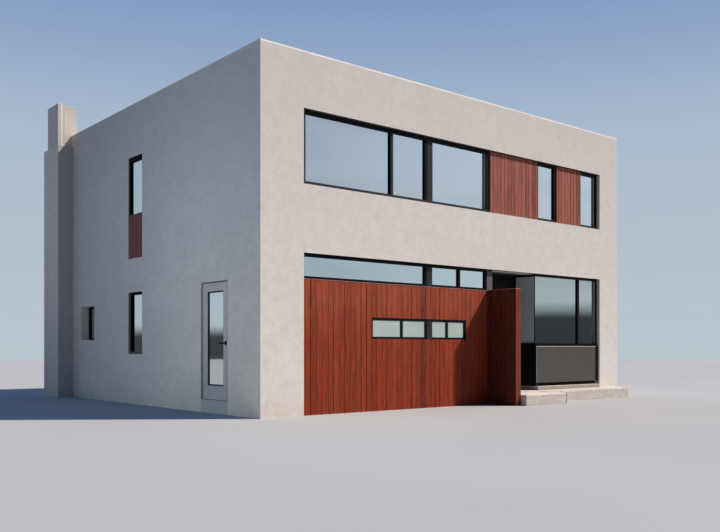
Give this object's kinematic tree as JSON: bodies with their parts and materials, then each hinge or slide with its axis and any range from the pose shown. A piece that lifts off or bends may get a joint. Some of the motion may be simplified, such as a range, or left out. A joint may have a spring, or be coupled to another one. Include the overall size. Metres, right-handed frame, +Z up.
{
  "type": "detached house",
  "caption": "Two-storey flat-roofed house with rendered walls, a ribbon window, a timber front with a projecting fin, a glazed corner bay, a hinged side door and a flank chimney.",
  "frame": {"origin": "middle of the whole plan, chimney and step included, at the underside of the walls", "axes": "+X along the front from the side-door flank to the bay, +Y from the front to the back, +Z up"},
  "size_m": [10.388, 10.1, 6.81],
  "materials": {
    "render": "fine matt mineral render",
    "chimney_render": "matt mineral render, slightly warmer",
    "concrete": "smooth cast concrete, matt",
    "roofing": "matt roofing membrane",
    "coping": "satin light coping",
    "timber": "vertical boards, red stain, satin",
    "dark_timber": "vertical boards, red stain, satin",
    "porch_board": "dark grey cladding, matt",
    "black_frame": "black powder coat, satin",
    "clear_glass": "clear sealed units",
    "frosted_glass": "frosted sealed units",
    "bay_panel": "dark grey-brown panel, satin",
    "door_black": "dark door, satin",
    "door_paint": "painted to match the walls, satin",
    "dark_metal": "dark grey coat, satin",
    "black_metal": "black, satin"
  },
  "bodies": {
    "house": {"front_wall": "render", "left_wall_front": "render", "left_wall_over_door": "render", "left_wall_rear": "render", "right_wall": "render", "back_wall": "render", "ground_floor_slab": "concrete", "upper_floor_slab": "concrete", "roof_slab": "concrete", "roof_covering": "roofing", "parapet_coping": "coping", "chimney_breast": "chimney_render", "chimney_stack": "chimney_render", "timber_wall": "timber", "timber_fin": "timber", "porch_side_wall": "porch_board", "porch_back_wall": "porch_board", "porch_soffit": "porch_board", "porch_floor": "concrete", "entrance_door": "door_black", "clerestory_frame": "black_frame", "clerestory_glass": "clear_glass", "strip_window_frame": "black_frame", "strip_window_glass": "frosted_glass", "bay_window_frame": "black_frame", "bay_glass": "clear_glass", "bay_front_panel": "bay_panel", "bay_side_panel": "black_frame", "bay_plinth": "concrete", "entrance_step": "concrete", "ribbon_window_frame": "black_frame", "ribbon_window_glass": "clear_glass", "ribbon_timber_panels": "timber", "side_window_frames": "black_frame", "side_window_glass": "clear_glass", "side_slot_panels": "dark_timber", "back_window_frames": "black_frame", "back_window_glass": "clear_glass", "side_door_threshold": "door_paint", "side_door_frame": "dark_metal"},
    "side_door": {"side_door_leaf": "door_paint", "side_door_glass": "clear_glass"},
    "door_lever": {"side_door_lever": "black_metal"}
  },
  "joints": [
    {"name": "side_door_hinge", "type": "hinge", "parent": "house", "child": "side_door", "pos_m": [-4.762, -2.344, 1.258], "axis": [0, 0, 1], "range_deg": [0, 90]},
    {"name": "lever_turn", "type": "hinge", "parent": "side_door", "child": "door_lever", "pos_m": [-4.793, -3.13, 1.225], "axis": [-1, 0, 0], "range_deg": [0, 40], "stiffness_Nm_per_rad": 4}
  ]
}
